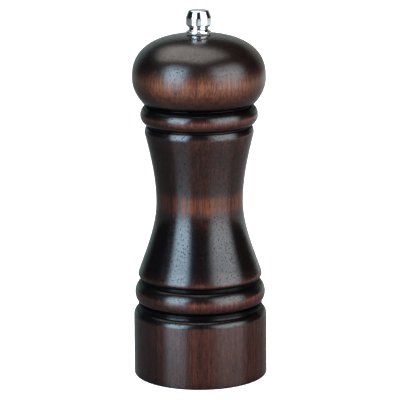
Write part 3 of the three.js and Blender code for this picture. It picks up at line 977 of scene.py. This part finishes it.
def make_stator(material):
    """Flanged ring with teeth inside, a funnel above them, and notches and holes for bridge and screws."""
    bottom, top = span("stator")
    throat, depth = STATOR["throat"], STATOR["depth"]

    blank = lathe(
        rounded(
            [
                (0, bottom, 0),
                (STATOR["flange"], bottom, 0.3),
                (STATOR["flange"], STATOR["flange_top"], 0.3),
                (STATOR["barrel"], STATOR["flange_top"], 0.3),
                (STATOR["barrel"], top, 0.4),
                (0, top, 0),
            ],
            4,
        ),
        PLATE_SEGMENTS,
    )
    wide, narrow = stator_tip(bottom) + depth, stator_tip(throat) + depth
    teeth = prism(
        toothed_outline(wide, depth), bottom - 0.01, throat, steps=16, shape=cone_shape(narrow / wide),
    )
    low, high = throat - 0.5, top + 0.1
    funnel = lathe([(0, low), (stator_tip(throat), low), (STATOR["mouth"], high), (0, high)], PLATE_SEGMENTS)
    low, high = bottom - 0.5, bottom + 0.4
    entry = lathe([(0, low), (wide + 0.45, low), (wide - 0.45, high), (0, high)], PLATE_SEGMENTS)
    cutters = [teeth, funnel, entry]
    notch_at = BRIDGE["half_span"] - BRIDGE["thick"] - NOTCH["gap"] + NOTCH["length"] / 2
    for side in (1, -1):
        notch = slab(NOTCH["length"], BRIDGE["width"] + 2 * NOTCH["gap"], bottom - 1, top + 1)
        cutters.append(moved(notch, side * notch_at))
    for side in (1, -1):
        hole = rod(SCREW_HOLE, bottom - 1, STATOR["flange_top"] + 1, HOLE_SEGMENTS)
        cutters.append(moved(hole, y=side * BASE_SCREW_AT, turn=0.07))
    return piece(combined(blank, cutters), "stator", "body", material, sharp=24)


# ---------------------------------------------------------------- bridge, turn plate and spring
BRIDGE = {
    "thick": 1.2, "width": 9, "half_span": 16.3, "reach": 21.9, "bend": 2.2, "hole": 3.95, "edge": 0.16,
}


def make_bridge(material):
    """Strap bent up from two feet and over the stator."""
    low, top = span("bridge")
    thick, half, reach, bend = BRIDGE["thick"], BRIDGE["half_span"], BRIDGE["reach"], BRIDGE["bend"]
    foot = low + thick
    outer = rounded([(reach, foot, 0), (half, foot, 0.5), (half, top, bend), (0, top, 0)], 10)
    under, within = top - thick, half - thick
    inner = rounded(
        [(0, under, 0), (within, under, bend - thick), (within, low, bend - 0.5), (reach, low, 0)], 10,
    )
    side = outer[:-1] + [(-x, z) for x, z in outer[-2::-1]] + [(-x, z) for x, z in inner[:0:-1]] + inner[1:]
    bm = bmesh.new()
    y = BRIDGE["width"] / 2
    near, far = [[bm.verts.new((x * MM, at * MM, z * MM)) for x, z in side] for at in (-y, y)]
    bm.faces.new(near)
    bm.faces.new(far[::-1])
    for i in range(len(side)):
        j = (i + 1) % len(side)
        bm.faces.new((near[i], far[i], far[j], near[j]))
    bmesh.ops.recalc_face_normals(bm, faces=bm.faces)
    rims = [e for e in bm.edges if e.calc_face_angle() > math.radians(60)]
    bmesh.ops.bevel(bm, geom=rims, offset=BRIDGE["edge"] * MM, segments=2, profile=0.5, affect="EDGES")
    holes = [rod(BRIDGE["hole"], top - 3, top + 1, SHAFT_SEGMENTS)]
    for x in (BASE_SCREW_AT, -BASE_SCREW_AT):
        holes.append(moved(rod(SCREW_HOLE, low - 1, low + 3, HOLE_SEGMENTS), x))
    return piece(combined(bm, holes), "bridge", "body", material, sharp=30)


TURN_PLATE = {"hole": 5.6, "corner": 0.2, "rim": 0.25}


def make_turn_plate(material):
    """Disc under the head, with a square hole that turns the shaft."""
    bottom, top = span("turn_plate")
    r, rim = span("turn_plate", 0)[1], TURN_PLATE["rim"]
    disc = lathe(rounded([(0, bottom, 0), (r, bottom, rim), (r, top, rim), (0, top, 0)], 4), PLATE_SEGMENTS)
    cutters = [prism(square_outline(TURN_PLATE["hole"], TURN_PLATE["corner"]), bottom - 1, top + 1)]
    for i in (1, 2, 3):
        hole = rod(SCREW_HOLE, bottom - 1, top + 1, HOLE_SEGMENTS)
        cutters.append(moved(hole, *centre_of("turn_plate_screw_%d" % i)))
    return piece(combined(disc, cutters), "turn_plate", "head", material, sharp=30)


SPRING = {"wire": 0.9, "mean_r": 4.5, "coils": 5, "closed": 0.75, "closed_pitch": 0.95}
SPRING_STEPS, SPRING_SIDES = 44, 14  # rings to each coil, and corners to each ring
SLOPE_REACH = 0.08  # turns before and after a point over which its slope is taken


def make_spring(material):
    """Round wire coil, its end turns closed, that stretches between the bridge and the rotor."""
    bottom, top = span("spring")
    turns, closed, close = SPRING["coils"], SPRING["closed"], SPRING["closed_pitch"]
    open_pitch = (top - bottom - SPRING["wire"] - 2 * closed * close) / (turns - 2 * closed)

    def rise(turn):
        ends = min(turn, closed) + max(0, turn - (turns - closed))
        return ends * close + (min(turn, turns - closed) - min(turn, closed)) * open_pitch

    def slope(turn):
        climb = rise(min(turn + SLOPE_REACH, turns)) - rise(max(turn - SLOPE_REACH, 0))
        return climb / (2 * SLOPE_REACH) / (2 * math.pi * SPRING["mean_r"])

    bm = bmesh.new()
    steps, sides, wire = turns * SPRING_STEPS, SPRING_SIDES, SPRING["wire"] / 2
    before = None
    for i in range(steps + 1):
        turn = turns * i / steps
        angle = 2 * math.pi * turn
        out = Vector((math.cos(angle), math.sin(angle), 0))
        ahead = Vector((-math.sin(angle), math.cos(angle), slope(turn))).normalized()
        up = out.cross(ahead)
        centre = out * SPRING["mean_r"] + Vector((0, 0, bottom + wire + rise(turn)))
        spokes = [2 * math.pi * k / sides for k in range(sides)]
        ring = [bm.verts.new((centre + (out * math.cos(t) + up * math.sin(t)) * wire) * MM) for t in spokes]
        if before:
            for k in range(sides):
                j = (k + 1) % sides
                bm.faces.new((before[k], before[j], ring[j], ring[k]))
        else:
            bm.faces.new(ring[::-1])
        before = ring
    bm.faces.new(before)
    coil = piece(bm, "spring", None, material)
    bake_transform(coil)
    return coil


# ---------------------------------------------------------------- studio
LIT_AT = 0.09  # height in metres that the softboxes point to


def softbox(name, azimuth, elevation, distance, size, radiance, colour, fade=(0.3, 0.3), lean=0.0):
    """Panel at that bearing from the mill: azimuth 0 is at the camera, positive to its right. Its light
    fades out over the given shares of its width and height at the edges. Lean makes it brighter along its
    width."""
    data = bpy.data.lights.new(name, "AREA")
    data.shape = "RECTANGLE"
    data.size, data.size_y = size
    data.energy = radiance * math.pi * size[0] * size[1]
    data.color = colour
    data.use_nodes = True
    g = Graph(data.node_tree)
    shares = g.split(g.node("ShaderNodeNewGeometry").outputs["Parametric"])
    fades = []
    for share, edge in zip(shares, fade):
        from_edge = g.math("SUBTRACT", 0.5, g.math("ABSOLUTE", g.math("SUBTRACT", share, 0.5)))
        fades.append(g.range(from_edge, 0.0, edge, smooth=True))
    tilt = g.range(shares[0], 0.0, 1.0, 1 - lean, 1 + lean)
    glow = g.node("ShaderNodeEmission", Strength=g.math("MULTIPLY", g.math("MULTIPLY", *fades), tilt))
    g.node("ShaderNodeOutputLight", Surface=glow.outputs[0])
    light = bpy.data.objects.new(name, data)
    bpy.context.scene.collection.objects.link(light)
    a, e = math.radians(azimuth), math.radians(elevation)
    away = Vector((math.sin(a) * math.cos(e), -math.cos(a) * math.cos(e), math.sin(e)))
    light.location = Vector((0, 0, LIT_AT)) + away * distance
    light.rotation_mode = "QUATERNION"
    light.rotation_quaternion = (-away).to_track_quat("-Z", "Y")


BACKDROP = {
    "left": (0.75, 1.0, 1.0, 1), "right": (1.0, 0.97, 0.86, 1), "strength": 0.5, "ambient": 0.015,
    "behind": (0.55, 0.92), "low": (0.38, 0.5),
}
WHITE = (1, 1, 1, 1)


def make_world():
    """Pale backdrop low behind the mill, near dark elsewhere. The camera sees plain white."""
    world = bpy.data.worlds.new("studio")
    bpy.context.scene.world = world
    world.use_nodes = True
    g = Graph(world.node_tree)
    sideways, back, up = g.split(g.node("ShaderNodeTexCoord").outputs["Generated"])
    behind = g.range(back, *BACKDROP["behind"], smooth=True)
    low = g.range(up, *BACKDROP["low"], 1.0, 0.0, smooth=True)
    backdrop = g.math("MULTIPLY", behind, low)
    strength = g.math("ADD", g.math("MULTIPLY", backdrop, BACKDROP["strength"]), BACKDROP["ambient"])
    tint = g.mix(g.range(sideways, -0.5, 0.5), BACKDROP["left"], BACKDROP["right"])
    glow = g.node("ShaderNodeBackground", Color=tint, Strength=strength)
    white = g.node("ShaderNodeBackground", Color=WHITE, Strength=1.0)
    both = g.mix_shader(g.node("ShaderNodeLightPath").outputs["Is Camera Ray"], glow, white)
    g.node("ShaderNodeOutputWorld", Surface=both.outputs[0])


FLOOR_HALF = 3  # in metres; the rest of the floor's lengths are in millimetres
FLOOR_TONES = (0.86, 0.86, 0.86, 1), (0.9, 0.9, 0.9, 1)
FLOOR_POLISH, FLOOR_SHEEN = (0.05, 0.05, 0.05, 1), (0.86, 0.95, 1.0, 1)
FLOOR_LIFT = {"from": 150, "to": 900, "near": 0.78, "far": 1.0}
FLOOR_GLOW = {"from": 60, "to": 700, "near": 0.1, "far": 0.75}
FLOOR_FALL = {"from": 900, "to": 2800, "dimmest": 0.03}
FLOOR_LEFT = {"from": -30, "to": -200, "dimmest": 0.25}


def floor_glow(g, place, away):
    """How bright the mill sees the table: dim close by, brightest some way out, dim again far out and to
    the left."""
    glow = g.range(away, FLOOR_GLOW["from"], FLOOR_GLOW["to"], FLOOR_GLOW["near"], FLOOR_GLOW["far"])
    nearness = g.math("DIVIDE", 1.0, away)
    fall = g.range(
        nearness, 1 / FLOOR_FALL["to"], 1 / FLOOR_FALL["from"], FLOOR_FALL["dimmest"], 1.0, smooth=True,
    )
    left = g.range(
        g.split(place)[0], FLOOR_LEFT["to"], FLOOR_LEFT["from"], FLOOR_LEFT["dimmest"], 1.0, smooth=True,
    )
    return g.math("MULTIPLY", g.math("MULTIPLY", glow, fall), left)


def make_floor():
    """White table. The mill sees it as a polished top with a soft reflection of the lights. The camera sees
    it evenly lit, with a soft contact shadow. From under the table it is clear, so that the foot shows."""
    made, g = new_material("floor_white")
    place = millimetres(g)
    shade = g.noise(place, 0.004, 2.0)
    matt = g.node("ShaderNodeBsdfDiffuse", Color=g.mix(shade, *FLOOR_TONES))
    away = g.node("ShaderNodeVectorMath", {"operation": "LENGTH"}, Vector=place).outputs["Value"]
    lifted = g.range(away, FLOOR_LIFT["from"], FLOOR_LIFT["to"], FLOOR_LIFT["near"], FLOOR_LIFT["far"])
    lift = g.node("ShaderNodeEmission", Color=WHITE, Strength=lifted)
    seen_floor = g.node("ShaderNodeAddShader")
    g.put(seen_floor.inputs[0], matt.outputs[0])
    g.put(seen_floor.inputs[1], lift.outputs[0])
    polish = g.node(
        "ShaderNodeBsdfPrincipled",
        Base_Color=FLOOR_POLISH, Roughness=0.1, IOR=1.5,
        Emission_Color=FLOOR_SHEEN, Emission_Strength=floor_glow(g, place, away),
    )
    both = g.mix_shader(g.node("ShaderNodeLightPath").outputs["Is Camera Ray"], polish, seen_floor)
    under = g.node("ShaderNodeNewGeometry").outputs["Backfacing"]
    one_sided = g.mix_shader(under, both, g.node("ShaderNodeBsdfTransparent"))
    g.node("ShaderNodeOutputMaterial", Surface=one_sided.outputs[0])
    bm = bmesh.new()
    bmesh.ops.create_grid(bm, x_segments=1, y_segments=1, size=FLOOR_HALF)
    mesh = bpy.data.meshes.new("floor")
    bm.to_mesh(mesh)
    bm.free()
    mesh.materials.append(made)
    floor = bpy.data.objects.new("floor", mesh)
    bpy.context.scene.collection.objects.link(floor)


# ---------------------------------------------------------------- making it
bpy.context.scene.view_settings.view_transform = "Standard"
make_camera()
make_world()
make_floor()
softbox(
    "softbox_left", azimuth=-43, elevation=17, distance=1.1, size=(0.98, 1.75),
    radiance=11.5, colour=(0.6, 0.82, 1.0), fade=(0.3, 0.45),
)
softbox(
    "softbox_right", azimuth=54, elevation=17, distance=1.2, size=(1.75, 1.85),
    radiance=5.6, colour=(0.89, 0.94, 1.0), fade=(0.35, 0.45),
)
softbox(
    "overhead", azimuth=235, elevation=80, distance=1.3, size=(1.7, 2.3),
    radiance=3.6, colour=(1.0, 0.95, 0.9), lean=0.3,
)

# Each walnut gets painted shade at its sides and a painted highlight of amber streaks at one height.
WALNUT_BODY = walnut_material(
    "walnut_body", BODY_STAIN, BODY_TONER_SHADE_HIGHLIGHT,
    left_painted_shade=(-0.28, -0.74, 0.75), right_painted_shade=0.1, gloss=0.15, amber_highlight=(75.5, 0.75),
)
WALNUT_HEAD = walnut_material(
    "walnut_head", HEAD_STAIN_AND_HIGHLIGHT, HEAD_TONER_SHADE_HIGHLIGHT,
    left_painted_shade=(-0.52, -0.86, 0.75), right_painted_shade=0.5, gloss=0.22, amber_highlight=(122, 0.2),
)
BARE = raw_wood_material()
CHROME = metal_material(
    "chrome_polished", dark=(0.8, 0.82, 0.84), light=(0.88, 0.9, 0.92),
    roughness=(0.03, 0.09), streak=(1, 1, 0.2), bump=0.03,
)
ZINC = metal_material(
    "zinc_steel", dark=(0.42, 0.43, 0.44), light=(0.6, 0.61, 0.63),
    roughness=(0.25, 0.42), streak=(0.3, 1, 1), bump=0.12,
)
BURR = metal_material(
    "burr_steel", dark=(0.12, 0.12, 0.125), light=(0.23, 0.23, 0.24),
    roughness=(0.3, 0.5), streak=(1, 1, 1), bump=0.3,
)
SPRING_STEEL = metal_material(
    "spring_steel", dark=(0.3, 0.3, 0.31), light=(0.46, 0.46, 0.47),
    roughness=(0.18, 0.32), streak=(1, 1, 1), bump=0.08,
)
ALUMINIUM = metal_material(
    "aluminium_bar", dark=(0.6, 0.61, 0.62), light=(0.72, 0.73, 0.74),
    roughness=(0.22, 0.36), streak=(1, 1, 0.06), bump=0.12,
)
NYLON = nylon_material()

make_body(WALNUT_BODY, BARE)
make_head(WALNUT_HEAD, BARE)
make_knob(CHROME)

make_stator(BURR)
make_rotor(BURR)
make_bridge(ZINC)
make_turn_plate(ZINC)
make_shaft(ALUMINIUM)
make_nut(ZINC)
make_spring(SPRING_STEEL)
make_washer("rotor_washer", "shaft", ZINC, inner=2.7, edge=0.15)
make_washer("spring_washer", "spindle", NYLON, inner=3.95, edge=0.2)
make_washer("knob_washer", "knob_seat", NYLON, inner=2.7, edge=0.2)
for held, count, body in (("stator", 2, "body"), ("bridge", 2, "body"), ("turn_plate", 3, "head")):
    for i in range(count):
        make_screw("%s_screw_%d" % (held, i + 1), body, ZINC)
